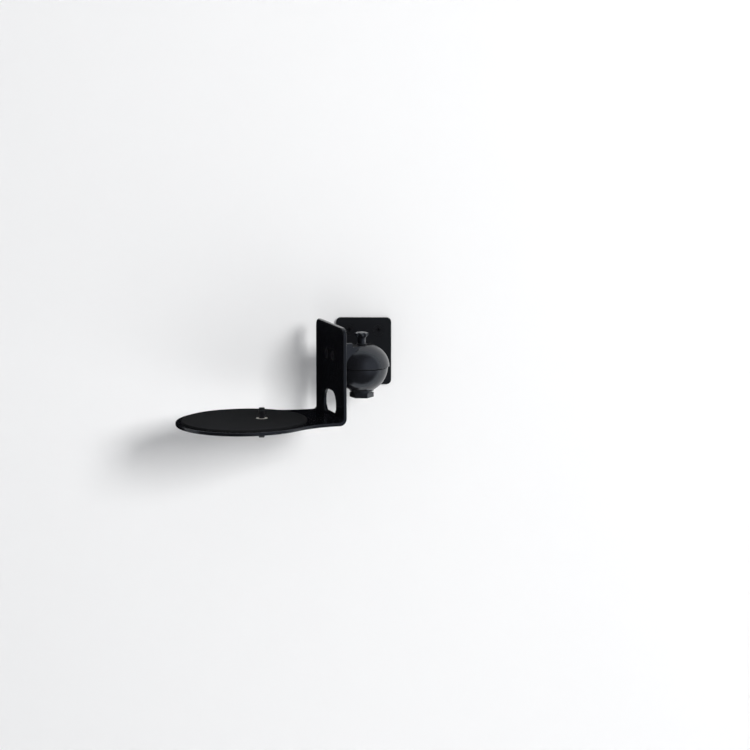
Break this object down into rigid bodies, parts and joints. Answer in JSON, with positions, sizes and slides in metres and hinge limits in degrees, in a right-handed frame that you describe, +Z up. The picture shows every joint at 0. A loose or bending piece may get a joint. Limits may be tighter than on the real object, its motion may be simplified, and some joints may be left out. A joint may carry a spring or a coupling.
{
  "type": "streamer wall bracket",
  "caption": "Wall bracket for an upright speaker: a round platform folded from one sheet with its upright, on a clamped swivel knuckle and a tilting wall clevis.",
  "frame": {"origin": "centre of the wall plate's back face, in the middle of the wall screws", "axes": "+Y into the wall along the screws, +Z up, +X to the right as seen from the room"},
  "size_m": [0.1825, 0.1821, 0.096],
  "materials": {
    "satin_black": "satin",
    "gloss_black": "gloss",
    "shell_black": "satin",
    "screw_black": "satin",
    "knob_black": "semi-gloss",
    "plated_steel": "satin",
    "sleeve_bronze": "satin",
    "ring_fibre": "matte",
    "pad_rubber": "matte",
    "retainer_nylon": "satin"
  },
  "bodies": {
    "wall_side": {"wall_plate": "satin_black", "wall_screws": "screw_black", "wall_clevis": "satin_black", "clevis_rivets": "screw_black", "tilt_bolt": "screw_black", "tilt_nut": "screw_black", "tilt_washers": "plated_steel"},
    "knuckle": {"lower_shell": "shell_black", "swivel_sleeve": "sleeve_bronze", "friction_ring": "ring_fibre", "clamp_nut": "plated_steel", "end_cap": "shell_black"},
    "clamp": {"clamp_screw": "knob_black"},
    "head": {"upper_shell": "shell_black", "thumb_washer": "screw_black", "arm_screws": "screw_black", "bracket": "gloss_black", "platform_pad": "pad_rubber"},
    "speaker_fixing": {"speaker_screw": "screw_black", "screw_retainer": "retainer_nylon"}
  },
  "joints": [
    {"name": "tilt", "type": "hinge", "parent": "wall_side", "child": "knuckle", "pos_m": [0, -0.014, -0.0145], "axis": [1, 0, 0], "range_deg": [-15, 15]},
    {"name": "swivel", "type": "hinge", "parent": "knuckle", "child": "head", "pos_m": [0, -0.05, -0.0065], "axis": [0, 0, 1], "range_deg": [-6.5, 143.5]},
    {"name": "clamp_turn", "type": "hinge", "parent": "knuckle", "child": "clamp", "pos_m": [0, -0.05, -0.0065], "axis": [0, 0, 1], "continuous": true},
    {"name": "speaker_screw_turn", "type": "hinge", "parent": "head", "child": "speaker_fixing", "pos_m": [-0.08467, -0.08335, -0.048], "axis": [0, 0, 1], "continuous": true}
  ]
}
